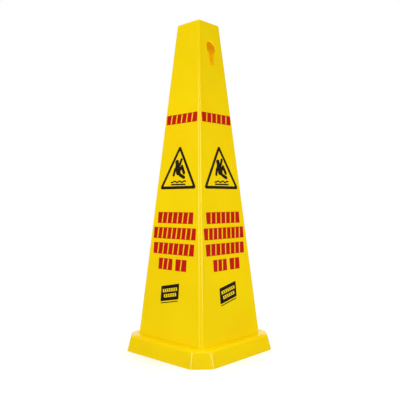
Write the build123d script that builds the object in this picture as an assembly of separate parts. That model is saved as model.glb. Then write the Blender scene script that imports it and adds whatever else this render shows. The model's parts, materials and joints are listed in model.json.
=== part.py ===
from build123d import *

import os
from math import cos, radians, sin, sqrt, tan

# Four-sided floor safety cone with a clip-on base skirt, chain keyholes and film graphics on each face.
# Millimetres, +Z up, origin on the floor under the axis. The front face looks along -Y, the right face along +X.
# The body is a hollow tapered shell, open below so that cones nest. Its foot has an outward flange, which sits
# under the ledge of the base skirt and is held there by snap hooks. The graphics are thin cut films on the faces.

# Overall size
TOTAL_HEIGHT = 915.0
LEDGE_HEIGHT = 43.0  # top of the base skirt's ledge, where the body comes out

# Tapered body, measured where it leaves the ledge and at its top, before rounding
BODY_FOOT_HALF = 123.0
BODY_TOP_HALF = 42.7
BODY_FOOT_FACET = 9.5  # width of the flat strip along each upright edge
BODY_TOP_FACET = 6.0
BODY_WALL = 2.5
BODY_EDGE_RADIUS = 5.0
BODY_TOP_RADIUS = 4.0
BODY_INNER_RADIUS = 2.0

# Foot flange of the body
FLANGE_WIDTH = 9.0
FLANGE_THICKNESS = 3.0
FLANGE_GAP = 0.2  # free height between the flange and the hooks under it

# Base skirt
BASE_HALF = 162.0
BASE_FACET = 57.0  # width of each corner face at the floor
BASE_DRAFT = 13.0  # degrees
BASE_WALL = 3.0
BASE_UPRIGHT_RADIUS = 11.0
BASE_TOP_RADIUS = 9.0
BASE_INNER_RADIUS = 6.0
OPENING_CLEARANCE = 0.2
OPENING_LIP_RADIUS = 0.5

# Snap hooks under the ledge, two to a side
HOOK_OFFSET = 62.0
HOOK_WIDTH = 16.0
HOOK_THICKNESS = 2.6
HOOK_LENGTH = 9.0
HOOK_BITE = 2.2
HOOK_TIP = 1.0

# Stiffening ribs between the skirt's wall and the ledge
RIB_OFFSETS = (-90.0, -31.0, 31.0, 90.0)
RIB_THICKNESS = 2.4
RIB_START = 4.0  # from the flange's edge
RIB_DEPTH = 27.0
RIB_NOSE = 6.0
JOIN = 1.0  # how far ribs and hooks run into the wall they stand on

# Chain keyholes in the left and right faces
KEYHOLE_RADIUS = 18.6
KEYHOLE_HEIGHT = 843.0  # of the round head's centre
KEYHOLE_SLOT_WIDTH = 15.5
KEYHOLE_SLOT_DROP = 50.0  # from the head's centre to the slot's lowest point
KEYHOLE_BLEND = 14.0
KEYHOLE_RIM = 2.6  # width of the raised rim inside the body
KEYHOLE_DEPTH = 6.0  # from the outer face to the end of the rim
KEYHOLE_EDGE_RADIUS = 2.2
KEYHOLE_CUT = 14.0

# Moulding gate mark in the middle of the top
GATE_DISH_RADIUS = 9.0
GATE_DISH_DEPTH = 0.8
GATE_STUB_RADIUS = 2.2
GATE_STUB_HEIGHT = 0.5

# Film graphics
FILM = 0.25

# Striped bars: one title bar above the triangle and five word bars below it
STRIPES = (15.0, 4.2, 1.2, 2.5)  # width, gap, depth of the rules along top and bottom, sideways lean
TITLE_HEIGHT = 643.7
TITLE_SIZE = (117.5, 26.5)
TITLE_SHIFT = 0.8
WORD_HEIGHT = 371.2  # of the first word bar's middle
WORD_PITCH = 42.1
WORD_DEPTH = 31.0
WORD_WIDTHS = ((136.5,), (162.5,), (156.5,), (54.0, 41.0))  # one tuple to a row
WORD_SPACE = 12.5
WORD_SHIFT = -1.0

# Warning triangle with a slipping figure, whose places are across and up from the middle of its lower edge
TRIANGLE_FOOT = 449.5  # height of its lower edge
TRIANGLE_WIDTH = 142.5
TRIANGLE_RISE = 122.0
TRIANGLE_BAND = 8.0
TRIANGLE_CORNER = 5.5
TRIANGLE_INNER_CORNER = 1.5
TRIANGLE_SHIFT = 1.4
HEAD = (-8.0, 74.0)
HEAD_RADIUS = 7.0
SHOULDER = (-5.0, 63.5)
HIP = (-1.0, 46.5)
TORSO_WIDTH = 18.0
RAISED_ARM = ((3.5, 67.5), (8.5, 80.5))  # elbow and hand
TRAILING_ARM = ((-14.5, 54.0), (-18.5, 39.0))
ARM_WIDTH = 8.2
RAISED_LEG = ((12.0, 61.5), (21.0, 44.0))  # knee and foot
SLIDING_LEG = ((8.0, 37.5), (22.0, 31.5))
LEG_WIDTH = 9.4
WAVE_PLACE = (1.5, 19.8)
WAVE_SWING = 1.6
WAVE_STEP = 9.6
WAVE_COUNT = 6
WAVE_WIDTH = 3.8
GROUND_SIZE = (56.0, 4.0)
GROUND_PLACE = (1.5, 12.4)

# Plain dark plate, slanted, with two light striped bars on it and a thin line below
PLATE_HEIGHT = 170.0
PLATE_SIZE = (68.0, 41.5)
PLATE_SHIFT = -3.6
PLATE_SLANT = 0.2  # rise of its upper and lower edges to the right
PLATE_CORNER = 2.0
PLATE_BARS = ((55.0, 0.0, 7.0), (47.0, 1.5, -7.0))  # width, place across and place up of each light bar
PLATE_BAR_DEPTH = 8.6
PLATE_STRIPES = (5.4, 3.4, 0.9, 0.0)
LINE_SIZE = (64.0, 2.4)
LINE_BELOW = 25.4

FACES = {"front": 0, "right": 90, "back": 180, "left": 270}  # turn about Z from the front

SQUARE_TO_DIAGONAL = sqrt(2.0)


def corner_distance(half, facet):
    """Distance from the axis to a corner face of an octagon with that half width and corner face width."""
    return SQUARE_TO_DIAGONAL * half - facet / 2


BODY_FOOT_CORNER = corner_distance(BODY_FOOT_HALF, BODY_FOOT_FACET)
BODY_TOP_CORNER = corner_distance(BODY_TOP_HALF, BODY_TOP_FACET)
BASE_CORNER = corner_distance(BASE_HALF, BASE_FACET)
BODY_RISE = TOTAL_HEIGHT - LEDGE_HEIGHT
FACE_SLOPE = (BODY_FOOT_HALF - BODY_TOP_HALF) / BODY_RISE
FACET_SLOPE = (BODY_FOOT_CORNER - BODY_TOP_CORNER) / BODY_RISE
DRAFT_SLOPE = tan(radians(BASE_DRAFT))
LEDGE_UNDERSIDE = LEDGE_HEIGHT - BASE_WALL
FLANGE_BOTTOM = LEDGE_UNDERSIDE - FLANGE_THICKNESS


def body_half(z):
    """Half width of the body's outside across the faces at height z."""
    return BODY_FOOT_HALF - FACE_SLOPE * (z - LEDGE_HEIGHT)


def body_corner(z):
    """Distance from the axis to the body's corner facet at height z."""
    return BODY_FOOT_CORNER - FACET_SLOPE * (z - LEDGE_HEIGHT)


FLANGE_HALF = body_half(LEDGE_UNDERSIDE) + FLANGE_WIDTH
FLANGE_CORNER = body_corner(LEDGE_UNDERSIDE) + FLANGE_WIDTH


# Shared shapes


def octagon_points(z, half, corner):
    """Corners of a square with cut corners, level at height z."""
    m = SQUARE_TO_DIAGONAL * corner - half
    quarter = [(half, -m), (half, m)]
    points = []
    for _ in range(4):
        points += [(x, y, z) for x, y in quarter]
        quarter = [(-y, x) for x, y in quarter]
    return points


def polygon(points):
    """Flat face through the points."""
    return Face(Wire.make_polygon(points, close=True))


def tapered(z0, half0, corner0, z1, half1, corner1):
    """Solid with flat sides between two level octagons."""
    low = octagon_points(z0, half0, corner0)
    high = octagon_points(z1, half1, corner1)
    sides = [polygon([low[i - 1], low[i], high[i], high[i - 1]]) for i in range(len(low))]
    return Part() + Solid(Shell([polygon(low), polygon(high), *sides]))


def body_block(z0, z1, inset):
    """Solid that follows the body's outside, moved inwards by inset, between two heights."""
    face_inset = inset * sqrt(1 + FACE_SLOPE**2)
    facet_inset = inset * sqrt(1 + FACET_SLOPE**2)
    low = (z0, body_half(z0) - face_inset, body_corner(z0) - facet_inset)
    high = (z1, body_half(z1) - face_inset, body_corner(z1) - facet_inset)
    return tapered(*low, *high)


def upright_edges(solid):
    """Edges that run up the whole solid."""
    rise = solid.bounding_box().size.Z
    return solid.edges().filter_by(lambda edge: edge.bounding_box().size.Z > rise / 2)


def top_edges(solid):
    """Edges of the solid's top face."""
    return solid.faces().sort_by(Axis.Z)[-1].edges()


def face_plane(z):
    """Plane on the front face at height z: x to the right, y up the face, normal outwards."""
    return Plane(origin=(0, -body_half(z), z), x_dir=(1, 0, 0), z_dir=(0, -1, FACE_SLOPE))


def side_profile(points, width):
    """Solid from an outline of (distance from the axis, height) on the front side, of that width along X."""
    outline = Plane.YZ * make_face(Polyline(*[(-r, z) for r, z in points], close=True))
    return extrude(outline, width / 2, both=True)


# Body


def keyhole_outline():
    """Round head with a narrow slot below it, on the keyhole's own plane."""
    slot_end = KEYHOLE_SLOT_DROP - KEYHOLE_SLOT_WIDTH / 2
    outline = Circle(KEYHOLE_RADIUS)
    outline += Pos(0, -slot_end / 2) * Rectangle(KEYHOLE_SLOT_WIDTH, slot_end)
    outline += Pos(0, -slot_end) * Circle(KEYHOLE_SLOT_WIDTH / 2)
    waist = [v for v in outline.vertices() if -KEYHOLE_RADIUS < v.Y < -KEYHOLE_RADIUS / 2]
    return fillet(waist, KEYHOLE_BLEND)


def with_keyhole(body, turn):
    """Cuts a keyhole with an inner rim in the front face, turned about Z by so many degrees."""
    place = Rot(0, 0, turn) * face_plane(KEYHOLE_HEIGHT).location
    outline = keyhole_outline()
    rim_start = BODY_WALL / 2
    rim = extrude(offset(outline, KEYHOLE_RIM), -(KEYHOLE_DEPTH - rim_start))
    body += place * Pos(0, 0, -rim_start) * rim
    body -= place * extrude(outline, KEYHOLE_CUT, both=True)
    plane = Plane(place)
    near = KEYHOLE_SLOT_DROP + 1
    mouth = [
        edge
        for edge in body.edges()
        if abs(plane.to_local_coords(edge.center()).Z) < 1e-3 and (edge.center() - plane.origin).length < near
    ]
    return fillet(mouth, KEYHOLE_EDGE_RADIUS)


def cone_body():
    """Hollow tapered shell with a closed top, a foot flange and two keyholes."""
    outside = body_block(FLANGE_BOTTOM, TOTAL_HEIGHT, 0)
    outside = fillet(upright_edges(outside), BODY_EDGE_RADIUS)
    outside = fillet(top_edges(outside), BODY_TOP_RADIUS)
    outside += extrude(polygon(octagon_points(FLANGE_BOTTOM, FLANGE_HALF, FLANGE_CORNER)), FLANGE_THICKNESS, (0, 0, 1))
    inside = body_block(FLANGE_BOTTOM - 1, TOTAL_HEIGHT - BODY_WALL, BODY_WALL)
    inside = fillet(upright_edges(inside) + top_edges(inside), BODY_INNER_RADIUS)
    body = outside - inside
    body = with_keyhole(body, 90)
    body = with_keyhole(body, -90)
    floor = TOTAL_HEIGHT - GATE_DISH_DEPTH
    body -= Pos(0, 0, floor + GATE_DISH_DEPTH / 2) * Cylinder(GATE_DISH_RADIUS, GATE_DISH_DEPTH)
    return body + Pos(0, 0, floor + GATE_STUB_HEIGHT / 2) * Cylinder(GATE_STUB_RADIUS, GATE_STUB_HEIGHT)


# Base


def snap_hook():
    """One hook that hangs from the ledge and catches under the body's flange, in the middle of the front side."""
    back = FLANGE_HALF + OPENING_CLEARANCE
    catch = FLANGE_BOTTOM - FLANGE_GAP
    tip = LEDGE_UNDERSIDE - HOOK_LENGTH
    points = [
        (back + HOOK_THICKNESS, LEDGE_UNDERSIDE + JOIN),
        (back, LEDGE_UNDERSIDE + JOIN),
        (back, catch),
        (FLANGE_HALF - HOOK_BITE, catch),
        (FLANGE_HALF - HOOK_BITE, catch - HOOK_TIP),
        (back, tip),
        (back + HOOK_THICKNESS, tip),
    ]
    return side_profile(points, HOOK_WIDTH)


def stiffening_rib(reach, start):
    """One rib under the ledge on the front side, from start out to the skirt, whose inside reaches that far."""
    low = LEDGE_UNDERSIDE - RIB_DEPTH
    high = LEDGE_UNDERSIDE - RIB_NOSE
    points = [
        (start, LEDGE_UNDERSIDE + JOIN),
        (start, high),
        (reach - low * DRAFT_SLOPE, low),
        (reach - low * DRAFT_SLOPE + JOIN, low),
        (reach - high * DRAFT_SLOPE + JOIN, high),
        (reach - high * DRAFT_SLOPE - RIB_NOSE, LEDGE_UNDERSIDE + JOIN),
    ]
    return side_profile(points, RIB_THICKNESS)


def drafted_block(top, half, corner):
    """Solid from the floor up to top, with the skirt's draft, of that half width and corner distance at the floor."""
    shift = top * DRAFT_SLOPE
    return tapered(0, half, corner, top, half - shift, corner - shift)


def base_skirt():
    """Flared skirt with cut corners, a ledge round the body, snap hooks and stiffening ribs."""
    outside = drafted_block(LEDGE_HEIGHT, BASE_HALF, BASE_CORNER)
    outside = fillet(upright_edges(outside), BASE_UPRIGHT_RADIUS)
    outside = fillet(top_edges(outside), BASE_TOP_RADIUS)
    wall = BASE_WALL / cos(radians(BASE_DRAFT))
    half = BASE_HALF - wall
    corner = BASE_CORNER - wall
    inside = drafted_block(LEDGE_UNDERSIDE, half, corner)
    inside = fillet(upright_edges(inside), BASE_UPRIGHT_RADIUS - BASE_WALL)
    inside = fillet(top_edges(inside), BASE_INNER_RADIUS)
    skirt = outside - inside
    opening = body_block(LEDGE_UNDERSIDE - 1, LEDGE_HEIGHT + 1, -OPENING_CLEARANCE)
    skirt -= opening
    reach = body_half(LEDGE_HEIGHT) + 1
    lip = [edge for edge in top_edges(skirt) if max(abs(edge.center().X), abs(edge.center().Y)) < reach]
    skirt = fillet(lip, OPENING_LIP_RADIUS)
    side_rib = stiffening_rib(half, FLANGE_HALF + RIB_START)
    corner_rib = stiffening_rib(corner, FLANGE_CORNER + RIB_START)
    details = []
    for turn in FACES.values():
        details += [Rot(0, 0, turn) * Pos(across, 0, 0) * side_rib for across in RIB_OFFSETS]
        details += [Rot(0, 0, turn) * Pos(across, 0, 0) * snap_hook() for across in (-HOOK_OFFSET, HOOK_OFFSET)]
        details.append(Rot(0, 0, turn + 45) * corner_rib)
    return skirt + details


# Film graphics, each an outline on its own plane


def striped_bar(width, height, stripe, gap, rule, lean):
    """Bar of stripes about that wide, which a rule along the bar's top and bottom joins."""
    count = round((width + gap) / (stripe + gap))
    pitch = (width + gap - lean) / count
    rise = height / 2 - rule
    bar = Rectangle(width, height)
    for index in range(1, count):
        right = index * pitch - width / 2
        corners = [(right - gap, -rise), (right, -rise), (right + lean, rise), (right + lean - gap, rise)]
        bar -= make_face(Polyline(*corners, close=True))
    return bar


def warning_triangle():
    """Triangular band with rounded corners, standing on the x axis."""
    corners = [(-TRIANGLE_WIDTH / 2, 0), (TRIANGLE_WIDTH / 2, 0), (0, TRIANGLE_RISE)]
    solid = make_face(Polyline(*corners, close=True))
    outer = fillet(solid.vertices(), TRIANGLE_CORNER)
    inner = offset(solid, -TRIANGLE_BAND, kind=Kind.INTERSECTION)
    return outer - fillet(inner.vertices(), TRIANGLE_INNER_CORNER)


def limb(points, width):
    """Round-ended stroke of that width through the points."""
    stroke = Sketch()
    for start, end in zip(points, points[1:]):
        across = end[0] - start[0]
        up = end[1] - start[1]
        middle = Pos((start[0] + end[0]) / 2, (start[1] + end[1]) / 2)
        turn = Vector(1, 0, 0).get_signed_angle(Vector(across, up, 0), Vector(0, 0, 1))
        length = sqrt(across**2 + up**2)
        stroke += middle * Rot(0, 0, turn) * SlotCenterToCenter(length, width)
    return stroke


def slip_figure():
    """Slipping person with both legs ahead, on the triangle's own axes."""
    figure = Pos(*HEAD) * Circle(HEAD_RADIUS)
    figure += limb([HEAD, SHOULDER], ARM_WIDTH)
    figure += limb([SHOULDER, HIP], TORSO_WIDTH)
    figure += limb([SHOULDER, *RAISED_ARM], ARM_WIDTH)
    figure += limb([SHOULDER, *TRAILING_ARM], ARM_WIDTH)
    figure += limb([HIP, *RAISED_LEG], LEG_WIDTH)
    return figure + limb([HIP, *SLIDING_LEG], LEG_WIDTH)


def wavy_line(step, count, swing, width):
    """Line of alternating arcs, centred on the origin."""
    waves = []
    for index in range(count):
        start = (index - count / 2) * step
        rise = swing if index % 2 else -swing
        waves.append(ThreePointArc((start, 0), (start + step / 2, rise), (start + step, 0)))
    return trace(Curve() + waves, width)


def slanted_bar(width, height):
    """Bar with upright ends, whose upper and lower edges rise to the right."""
    rise = PLATE_SLANT * width / 2
    side = height / 2
    corners = [
        (-width / 2, -side - rise),
        (width / 2, -side + rise),
        (width / 2, side + rise),
        (-width / 2, side - rise),
    ]
    return make_face(Polyline(*corners, close=True))


def slanted_plate():
    """Outline of the dark plate."""
    plate = slanted_bar(*PLATE_SIZE)
    return fillet(plate.vertices(), PLATE_CORNER)


def plate_bar(width, across, up):
    """Light striped bar on the plate, along its slant."""
    slant = Vector(1, 0, 0).get_signed_angle(Vector(1, PLATE_SLANT, 0), Vector(0, 0, 1))
    return Pos(across, up) * Rot(0, 0, slant) * striped_bar(width, PLATE_BAR_DEPTH, *PLATE_STRIPES)


def film(outline, height, across, lift=0.0):
    """Film of that outline on the front face, centred at a height, moved across, and lifted off the face."""
    return face_plane(height).location * Pos(across, 0, lift) * extrude(outline, FILM)


def word_bars():
    """Names and films of the word bars, row by row."""
    bars = {}
    for row, widths in enumerate(WORD_WIDTHS):
        height = WORD_HEIGHT - row * WORD_PITCH
        left = WORD_SHIFT - (sum(widths) + WORD_SPACE * (len(widths) - 1)) / 2
        for width in widths:
            name = f"word_bar_{len(bars) + 1}"
            bars[name] = film(striped_bar(width, WORD_DEPTH, *STRIPES), height, left + width / 2)
            left += width + WORD_SPACE
    return bars


def graphics():
    """Names and films of all graphics on the front face."""
    wave = wavy_line(WAVE_STEP, WAVE_COUNT, WAVE_SWING, WAVE_WIDTH)
    light_bars = [film(plate_bar(*bar), PLATE_HEIGHT, PLATE_SHIFT, FILM) for bar in PLATE_BARS]
    return {
        "title_bar": film(striped_bar(*TITLE_SIZE, *STRIPES), TITLE_HEIGHT, TITLE_SHIFT),
        "warning_triangle": film(warning_triangle(), TRIANGLE_FOOT, TRIANGLE_SHIFT),
        "slip_figure": film(slip_figure(), TRIANGLE_FOOT, TRIANGLE_SHIFT),
        "water_line": film(Pos(*WAVE_PLACE) * wave, TRIANGLE_FOOT, TRIANGLE_SHIFT),
        "ground_line": film(Pos(*GROUND_PLACE) * Rectangle(*GROUND_SIZE), TRIANGLE_FOOT, TRIANGLE_SHIFT),
        **word_bars(),
        "dark_plate": film(slanted_plate(), PLATE_HEIGHT, PLATE_SHIFT),
        "plate_bar_1": light_bars[0],
        "plate_bar_2": light_bars[1],
        "plate_line": film(Pos(0, -LINE_BELOW) * slanted_bar(*LINE_SIZE), PLATE_HEIGHT, PLATE_SHIFT),
    }


if __name__ == "__main__":
    os.makedirs("parts", exist_ok=True)
    export_step(cone_body(), "parts/cone_body.step")
    export_step(base_skirt(), "parts/base_skirt.step")
    for name, shape in graphics().items():
        for face, turn in FACES.items():
            export_step(Rot(0, 0, turn) * shape, f"parts/{name}_{face}.step")
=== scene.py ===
import json
from math import cos, pi, radians, sin

import bmesh
import bpy
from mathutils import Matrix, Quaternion, Vector


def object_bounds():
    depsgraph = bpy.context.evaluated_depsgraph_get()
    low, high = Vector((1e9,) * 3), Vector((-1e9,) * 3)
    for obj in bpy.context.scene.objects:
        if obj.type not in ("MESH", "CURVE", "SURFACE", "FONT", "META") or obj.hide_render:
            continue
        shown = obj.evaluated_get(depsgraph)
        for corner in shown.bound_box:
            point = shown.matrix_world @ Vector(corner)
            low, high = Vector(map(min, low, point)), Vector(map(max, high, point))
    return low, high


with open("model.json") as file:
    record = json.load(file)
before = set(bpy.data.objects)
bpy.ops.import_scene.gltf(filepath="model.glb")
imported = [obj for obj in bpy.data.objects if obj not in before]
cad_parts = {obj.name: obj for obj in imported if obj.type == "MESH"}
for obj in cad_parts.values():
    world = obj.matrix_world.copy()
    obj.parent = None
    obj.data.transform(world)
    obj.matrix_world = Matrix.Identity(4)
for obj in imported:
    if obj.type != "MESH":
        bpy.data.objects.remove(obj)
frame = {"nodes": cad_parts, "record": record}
cad_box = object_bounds()

# A four-sided floor safety cone in glossy yellow plastic with film graphics, on a pale floor in studio light.
# Metres, in the CAD frame: +Z up, the floor at z = 0, front face towards -Y, right face towards +X.

MM = 0.001

# Camera, at the photograph's viewing angle. Azimuths are degrees from -Y towards +X, here and for the lamps.
CAMERA_AZIMUTH = 43.43
CAMERA_DISTANCE = 1.516
CAMERA_HEIGHT = 0.4169
CAMERA_TILT = 0.10  # degrees upwards
CAMERA_ROLL = 0.20  # degrees
CAMERA_SENSOR = 36.0  # sensor width and lens, millimetres
CAMERA_LENS = 47.94
CAMERA_SHIFT = 0.0031

# World: the strength that the camera sees, the strength that lights the object, and its share in reflections
WORLD_SEEN = 1.0
WORLD_LIGHT = 0.61
WORLD_GLOSS = 0.01

# Lamps. Reach is the distance from the axis, and powers are watts.
LEFT_LAMP_SIZE = (0.5, 1.2)
LEFT_LAMP_AZIMUTH = 2.0
LEFT_LAMP_REACH = 1.7
LEFT_LAMP_HEIGHT = 0.42
LEFT_LAMP_POWER = 10.0
RIGHT_LAMP_SIZE = (0.5, 0.5)  # low and near, so that the right face darkens towards its top
RIGHT_LAMP_AZIMUTH = 100.0
RIGHT_LAMP_REACH = 1.0
RIGHT_LAMP_HEIGHT = 0.28
RIGHT_LAMP_POWER = 3.0
TOP_LAMP_SIZE = (3.2, 3.2)
TOP_LAMP_HEIGHT = 2.9
TOP_LAMP_POWER = 56.0
GLINT_LAMP_SIZE = (0.6, 1.32)  # lamps that only show in reflections, for the sharp lights along the edges
GLINT_LAMP_AZIMUTHS = (19.0, 69.0)
GLINT_LAMP_REACH = 2.3
GLINT_LAMP_HEIGHT = 1.12
GLINT_LAMP_POWER = 27.0
BACK_LAMP_SIZE = (3.9, 1.15)  # wide and low, for the pale shine on the ledge's ends
BACK_LAMP_AZIMUTH = 223.4
BACK_LAMP_REACH = 2.3
BACK_LAMP_HEIGHT = 0.62
BACK_LAMP_POWER = 14.0
GLOW_LAMP_RADIUS = 0.03  # lamps inside the body, for the light that comes through its thin walls
GLOW_LAMP_HEIGHTS = (0.35, 0.62)
GLOW_LAMP_POWER = 0.5

# Floor
FLOOR_RADIUS = 4.0
FLOOR_SEGMENTS = 96
FLOOR_FADE = (0.35, 1.3)  # distances from the axis over which the floor fades into the backdrop
FLOOR_SPECULAR = 0.1
FLOOR_ROUGHNESS = (0.6, 0.7)
FLOOR_TONE = (0.97, 1.0)  # share of the paler colour

# Colours, linear
YELLOW = (0.90, 0.665, 0.0012)
YELLOW_DEEP = (0.87, 0.615, 0.0008)
# The base's two yellows are darker copies of the body's yellows: painted shade, which offsets the extra top
# light on the base's upward-tilted skirt.
BASE_YELLOW_PAINTED_SHADE = (0.888, 0.636, 0.0010)
BASE_YELLOW_DEEP_PAINTED_SHADE = (0.857, 0.588, 0.0007)
YELLOW_SCUFF = (0.62, 0.470, 0.060)
RED = (0.545, 0.006, 0.001)
RED_DEEP = (0.46, 0.004, 0.001)
BLACK = (0.015, 0.008, 0.003)
BLACK_WORN = (0.030, 0.019, 0.008)
PLATE = (0.014, 0.006, 0.004)
PLATE_WORN = (0.028, 0.016, 0.012)
FLOOR_PALE = (0.97, 0.97, 0.97)
FLOOR_DEEP = (0.93, 0.93, 0.93)

# Moulded plastic
PLASTIC_SPECULAR = 0.30
PLASTIC_ROUGHNESS = (0.12, 0.17)
PLASTIC_DEPTH_WEIGHT = 0.15  # subsurface light
PLASTIC_DEPTH_RADIUS = (1.0, 0.55, 0.05)
PLASTIC_DEPTH = 2.0 * MM
SCUFF_HEIGHT = 0.055  # where the scuffs end
BODY_SCUFFING = 0.12  # how far the scuffs change the colour
BASE_SCUFFING = 0.20

# Films
FILM_SPECULAR = 0.14
FILM_ROUGHNESS = 0.30
BLACK_FILM_ROUGHNESS = 0.32
FILM_ROUGHNESS_SPREAD = 0.08

# Noise: features to a metre, detail, roughness, and the stretch along each axis
CLOUD_NOISE = (5.0, 3.0)
SCUFF_NOISE = (70.0, 6.0, 0.7, (1, 1, 0.4))
GRAIN_NOISE = (1400.0, 2.0)
WAVINESS_NOISE = (16.0, 1.0)
POLISH_NOISE = (40.0, 4.0)
INK_NOISE = (180.0, 4.0, 0.6)
INK_POLISH_NOISE = (60.0, 3.0)
INK_GRAIN_NOISE = (900.0, 2.0)
FLOOR_TONE_NOISE = (2.0, 2.0)
FLOOR_GRAIN_NOISE = (300.0, 2.0)
FLOOR_POLISH_NOISE = (8.0,)

# Noise values that a change runs between
NOISE_RANGE = (0.3, 0.7)
CLOUD_RANGE = (0.35, 0.65)
SCUFF_RANGE = (0.52, 0.70)
INK_RANGE = (0.40, 0.72)

# Surface relief: depth and strength
WAVINESS_RELIEF = (0.5 * MM, 0.5)
GRAIN_RELIEF = (0.03 * MM, 0.6)
INK_GRAIN_RELIEF = (0.02 * MM, 0.5)
FLOOR_GRAIN_RELIEF = (0.05 * MM, 0.2)


# Materials


class Surface:
    """A new node material on the row frame's own coordinates."""

    def __init__(self, name):
        self.material = bpy.data.materials.new(name)
        self.material.use_nodes = True
        self.tree = self.material.node_tree
        self.shader = self.tree.nodes["Principled BSDF"]
        self.place = self.tree.nodes.new("ShaderNodeTexCoord").outputs["Object"]

    def node(self, kind, **settings):
        """A node of that kind, with its settings."""
        made = self.tree.nodes.new(kind)
        for key, value in settings.items():
            setattr(made, key, value)
        return made

    def join(self, source, target):
        self.tree.links.new(source, target)

    def noise(self, scale, detail=2.0, roughness=0.5, stretch=(1, 1, 1)):
        """Noise with that many features to a metre, stretched along each axis."""
        mapping = self.node("ShaderNodeMapping")
        mapping.inputs["Scale"].default_value = stretch
        self.join(self.place, mapping.inputs["Vector"])
        noise = self.node("ShaderNodeTexNoise")
        noise.inputs["Scale"].default_value = scale
        noise.inputs["Detail"].default_value = detail
        noise.inputs["Roughness"].default_value = roughness
        self.join(mapping.outputs["Vector"], noise.inputs["Vector"])
        return noise.outputs["Fac"]

    def ranged(self, value, low, high, to_low=0.0, to_high=1.0):
        """The value moved from one range to another, and kept inside it."""
        node = self.node("ShaderNodeMapRange")
        ends = {"From Min": low, "From Max": high, "To Min": to_low, "To Max": to_high}
        for key, end in ends.items():
            node.inputs[key].default_value = end
        self.join(value, node.inputs["Value"])
        return node.outputs["Result"]

    def product(self, first, second):
        node = self.node("ShaderNodeMath", operation="MULTIPLY")
        self.join(first, node.inputs[0])
        self.join(second, node.inputs[1])
        return node.outputs["Value"]

    def mixed(self, factor, first, second):
        """Colour between first and second, each a colour or a node's output."""
        node = self.node("ShaderNodeMix", data_type="RGBA")
        self.join(factor, node.inputs["Factor"])
        for key, colour in (("A", first), ("B", second)):
            socket = next(s for s in node.inputs if s.name == key and s.type == "RGBA")
            if isinstance(colour, tuple):
                socket.default_value = (*colour, 1)
            else:
                self.join(colour, socket)
        return next(s for s in node.outputs if s.type == "RGBA")

    def height(self):
        """Height above the floor."""
        split = self.node("ShaderNodeSeparateXYZ")
        self.join(self.place, split.inputs["Vector"])
        return split.outputs["Z"]

    def bump(self, value, distance, strength=1.0, under=None):
        """Surface relief of that depth, on top of another relief."""
        node = self.node("ShaderNodeBump")
        node.inputs["Distance"].default_value = distance
        node.inputs["Strength"].default_value = strength
        self.join(value, node.inputs["Height"])
        if under:
            self.join(under, node.inputs["Normal"])
        return node.outputs["Normal"]

    def finish(self, colour, roughness, normal):
        self.join(colour, self.shader.inputs["Base Color"])
        self.join(roughness, self.shader.inputs["Roughness"])
        self.join(normal, self.shader.inputs["Normal"])
        return self.material


def yellow_plastic(name, yellow, deep_yellow, scuffing):
    """Moulded yellow plastic: faint cloudiness, fine grain, slow waviness, and scuffs near the floor."""
    surface = Surface(name)
    cloud = surface.ranged(surface.noise(*CLOUD_NOISE), *CLOUD_RANGE)
    colour = surface.mixed(cloud, deep_yellow, yellow)
    low = surface.ranged(surface.height(), 0.0, SCUFF_HEIGHT, 1.0, 0.0)
    patches = surface.ranged(surface.noise(*SCUFF_NOISE), *SCUFF_RANGE, 0.0, scuffing)
    scuffs = surface.product(low, patches)
    colour = surface.mixed(scuffs, colour, YELLOW_SCUFF)
    grain = surface.noise(*GRAIN_NOISE)
    waviness = surface.noise(*WAVINESS_NOISE)
    rough = surface.ranged(surface.noise(*POLISH_NOISE), *NOISE_RANGE, *PLASTIC_ROUGHNESS)
    relief = surface.bump(waviness, *WAVINESS_RELIEF)
    relief = surface.bump(grain, *GRAIN_RELIEF, relief)
    shader = surface.shader
    shader.inputs["Specular IOR Level"].default_value = PLASTIC_SPECULAR
    shader.inputs["Subsurface Weight"].default_value = PLASTIC_DEPTH_WEIGHT
    shader.inputs["Subsurface Radius"].default_value = PLASTIC_DEPTH_RADIUS
    shader.inputs["Subsurface Scale"].default_value = PLASTIC_DEPTH
    return surface.finish(colour, rough, relief)


def film(name, colour, worn, roughness=FILM_ROUGHNESS):
    """Printed film: mottled ink with fine grain, more matt than the plastic."""
    surface = Surface(name)
    mottle = surface.ranged(surface.noise(*INK_NOISE), *INK_RANGE)
    mixed = surface.mixed(mottle, colour, worn)
    polish = surface.noise(*INK_POLISH_NOISE)
    rough = surface.ranged(polish, *NOISE_RANGE, roughness, roughness + FILM_ROUGHNESS_SPREAD)
    relief = surface.bump(surface.noise(*INK_GRAIN_NOISE), *INK_GRAIN_RELIEF)
    surface.shader.inputs["Specular IOR Level"].default_value = FILM_SPECULAR
    return surface.finish(mixed, rough, relief)


def set_materials():
    """Gives every CAD node its finished material, by its slot in the record."""
    finishes = {
        "yellow_plastic": yellow_plastic("moulded_yellow", YELLOW, YELLOW_DEEP, BODY_SCUFFING),
        # The base's material carries the darker yellows: painted shade against the top light on its skirt.
        "base_plastic": yellow_plastic("moulded_yellow_base_painted_shade", BASE_YELLOW_PAINTED_SHADE, BASE_YELLOW_DEEP_PAINTED_SHADE, BASE_SCUFFING),
        "red_film": film("red_film", RED, RED_DEEP),
        "black_film": film("black_film", BLACK, BLACK_WORN, BLACK_FILM_ROUGHNESS),
        "dark_film": film("dark_film", PLATE, PLATE_WORN),
        "yellow_film": film("yellow_film", YELLOW, YELLOW_DEEP),
    }
    for part in frame["record"]["subparts"]:
        node = frame["nodes"][part["node"]]
        for slot in node.material_slots:
            slot.material = finishes[part["material_slot"]]


# Stage


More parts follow.
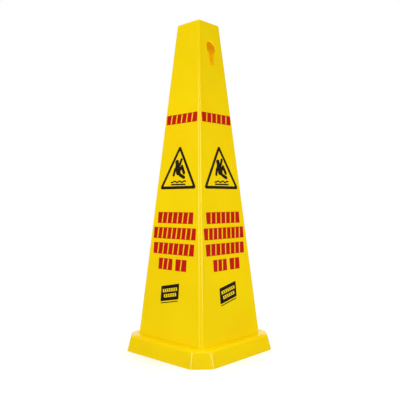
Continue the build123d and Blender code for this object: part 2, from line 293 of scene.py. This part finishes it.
def add_floor():
    """Round pale floor, which fades out into the backdrop and throws no light back at the object."""
    mesh = bpy.data.meshes.new("floor")
    shape = bmesh.new()
    rim = [
        shape.verts.new((FLOOR_RADIUS * cos(turn), FLOOR_RADIUS * sin(turn), 0))
        for turn in (2 * pi * index / FLOOR_SEGMENTS for index in range(FLOOR_SEGMENTS))
    ]
    shape.faces.new(rim)
    shape.to_mesh(mesh)
    shape.free()
    floor = bpy.data.objects.new("floor", mesh)
    bpy.context.scene.collection.objects.link(floor)
    surface = Surface("pale_floor")
    tone = surface.ranged(surface.noise(*FLOOR_TONE_NOISE), *NOISE_RANGE, *FLOOR_TONE)
    colour = surface.mixed(tone, FLOOR_DEEP, FLOOR_PALE)
    relief = surface.bump(surface.noise(*FLOOR_GRAIN_NOISE), *FLOOR_GRAIN_RELIEF)
    surface.shader.inputs["Specular IOR Level"].default_value = FLOOR_SPECULAR
    rough = surface.ranged(surface.noise(*FLOOR_POLISH_NOISE), *NOISE_RANGE, *FLOOR_ROUGHNESS)
    material = surface.finish(colour, rough, relief)
    distance = surface.node("ShaderNodeVectorMath", operation="LENGTH")
    surface.join(surface.place, distance.inputs[0])
    solid = surface.ranged(distance.outputs["Value"], *FLOOR_FADE, 1.0, 0.0)
    surface.join(solid, surface.shader.inputs["Alpha"])
    mesh.materials.append(material)
    floor.visible_glossy = False
    floor.visible_diffuse = False


def add_world():
    """Even white surroundings, which light the object less than they show, and hardly reflect in it."""
    world = bpy.data.worlds.new("studio")
    bpy.context.scene.world = world
    world.use_nodes = True
    nodes, links = world.node_tree.nodes, world.node_tree.links
    background = nodes["Background"]
    background.inputs["Color"].default_value = (1, 1, 1, 1)
    path = nodes.new("ShaderNodeLightPath")
    strength = nodes.new("ShaderNodeMapRange")
    strength.inputs["To Min"].default_value = WORLD_LIGHT
    strength.inputs["To Max"].default_value = WORLD_SEEN
    links.new(path.outputs["Is Camera Ray"], strength.inputs["Value"])
    reflected = nodes.new("ShaderNodeMapRange")
    reflected.inputs["To Min"].default_value = 1.0
    reflected.inputs["To Max"].default_value = WORLD_GLOSS
    links.new(path.outputs["Is Glossy Ray"], reflected.inputs["Value"])
    both = nodes.new("ShaderNodeMath")
    both.operation = "MULTIPLY"
    links.new(strength.outputs["Result"], both.inputs[0])
    links.new(reflected.outputs["Result"], both.inputs[1])
    links.new(both.outputs["Value"], background.inputs["Strength"])
    world.cycles.sampling_method = "NONE"  # a ray then knows whether it is a reflection


def around(azimuth, distance, height):
    """Point round the object: azimuth 0 is in front, towards -Y, and 90 towards +X."""
    turn = radians(azimuth)
    return Vector((distance * sin(turn), -distance * cos(turn), height))


def add_lamp(name, place, aim, size, power, diffuse=True, glossy=True):
    """Rectangular soft lamp at a place, turned towards a point, and never seen itself."""
    lamp = bpy.data.lights.new(name, "AREA")
    lamp.shape = "RECTANGLE"
    lamp.size, lamp.size_y = size
    lamp.energy = power
    holder = bpy.data.objects.new(name, lamp)
    bpy.context.scene.collection.objects.link(holder)
    holder.location = place
    holder.rotation_mode = "QUATERNION"
    holder.rotation_quaternion = (aim - place).to_track_quat("-Z", "Y")
    holder.visible_camera = False
    holder.visible_diffuse = diffuse
    holder.visible_glossy = glossy


def add_glow_lamp(name, height):
    """Small lamp on the axis, inside the body."""
    glow = bpy.data.lights.new(name, "POINT")
    glow.energy = GLOW_LAMP_POWER
    glow.shadow_soft_size = GLOW_LAMP_RADIUS
    holder = bpy.data.objects.new(name, glow)
    holder.location = (0, 0, height)
    bpy.context.scene.collection.objects.link(holder)


def add_lamps(centre):
    """A lamp to each side of the camera, two for the edges' glints, one behind, one overhead, two inside."""
    left = around(LEFT_LAMP_AZIMUTH, LEFT_LAMP_REACH, LEFT_LAMP_HEIGHT)
    right = around(RIGHT_LAMP_AZIMUTH, RIGHT_LAMP_REACH, RIGHT_LAMP_HEIGHT)
    add_lamp("left_lamp", left, centre, LEFT_LAMP_SIZE, LEFT_LAMP_POWER)
    add_lamp("right_lamp", right, centre, RIGHT_LAMP_SIZE, RIGHT_LAMP_POWER)
    for index, azimuth in enumerate(GLINT_LAMP_AZIMUTHS, 1):
        place = around(azimuth, GLINT_LAMP_REACH, GLINT_LAMP_HEIGHT)
        add_lamp(f"glint_lamp_{index}", place, centre, GLINT_LAMP_SIZE, GLINT_LAMP_POWER, diffuse=False)
    behind = around(BACK_LAMP_AZIMUTH, BACK_LAMP_REACH, BACK_LAMP_HEIGHT)
    add_lamp("back_lamp", behind, centre, BACK_LAMP_SIZE, BACK_LAMP_POWER)
    overhead = Vector((0, 0, TOP_LAMP_HEIGHT))
    add_lamp("top_lamp", overhead, centre, TOP_LAMP_SIZE, TOP_LAMP_POWER, glossy=False)
    for index, height in enumerate(GLOW_LAMP_HEIGHTS, 1):
        add_glow_lamp(f"glow_lamp_{index}", height)


def add_camera():
    """Camera that looks almost level at the corner between the front and right faces."""
    data = bpy.data.cameras.new("camera")
    data.sensor_width = CAMERA_SENSOR
    data.lens = CAMERA_LENS
    data.shift_x = CAMERA_SHIFT
    camera = bpy.data.objects.new("camera", data)
    bpy.context.scene.collection.objects.link(camera)
    camera.location = around(CAMERA_AZIMUTH, CAMERA_DISTANCE, CAMERA_HEIGHT)
    ahead = -around(CAMERA_AZIMUTH, cos(radians(CAMERA_TILT)), -sin(radians(CAMERA_TILT)))
    camera.rotation_mode = "QUATERNION"
    level = ahead.to_track_quat("-Z", "Y")
    camera.rotation_quaternion = Quaternion(ahead, radians(CAMERA_ROLL)) @ level
    bpy.context.scene.camera = camera


add_camera()
set_materials()
add_floor()
add_world()
add_lamps((cad_box[0] + cad_box[1]) / 2)
bpy.context.scene.view_settings.view_transform = "Standard"
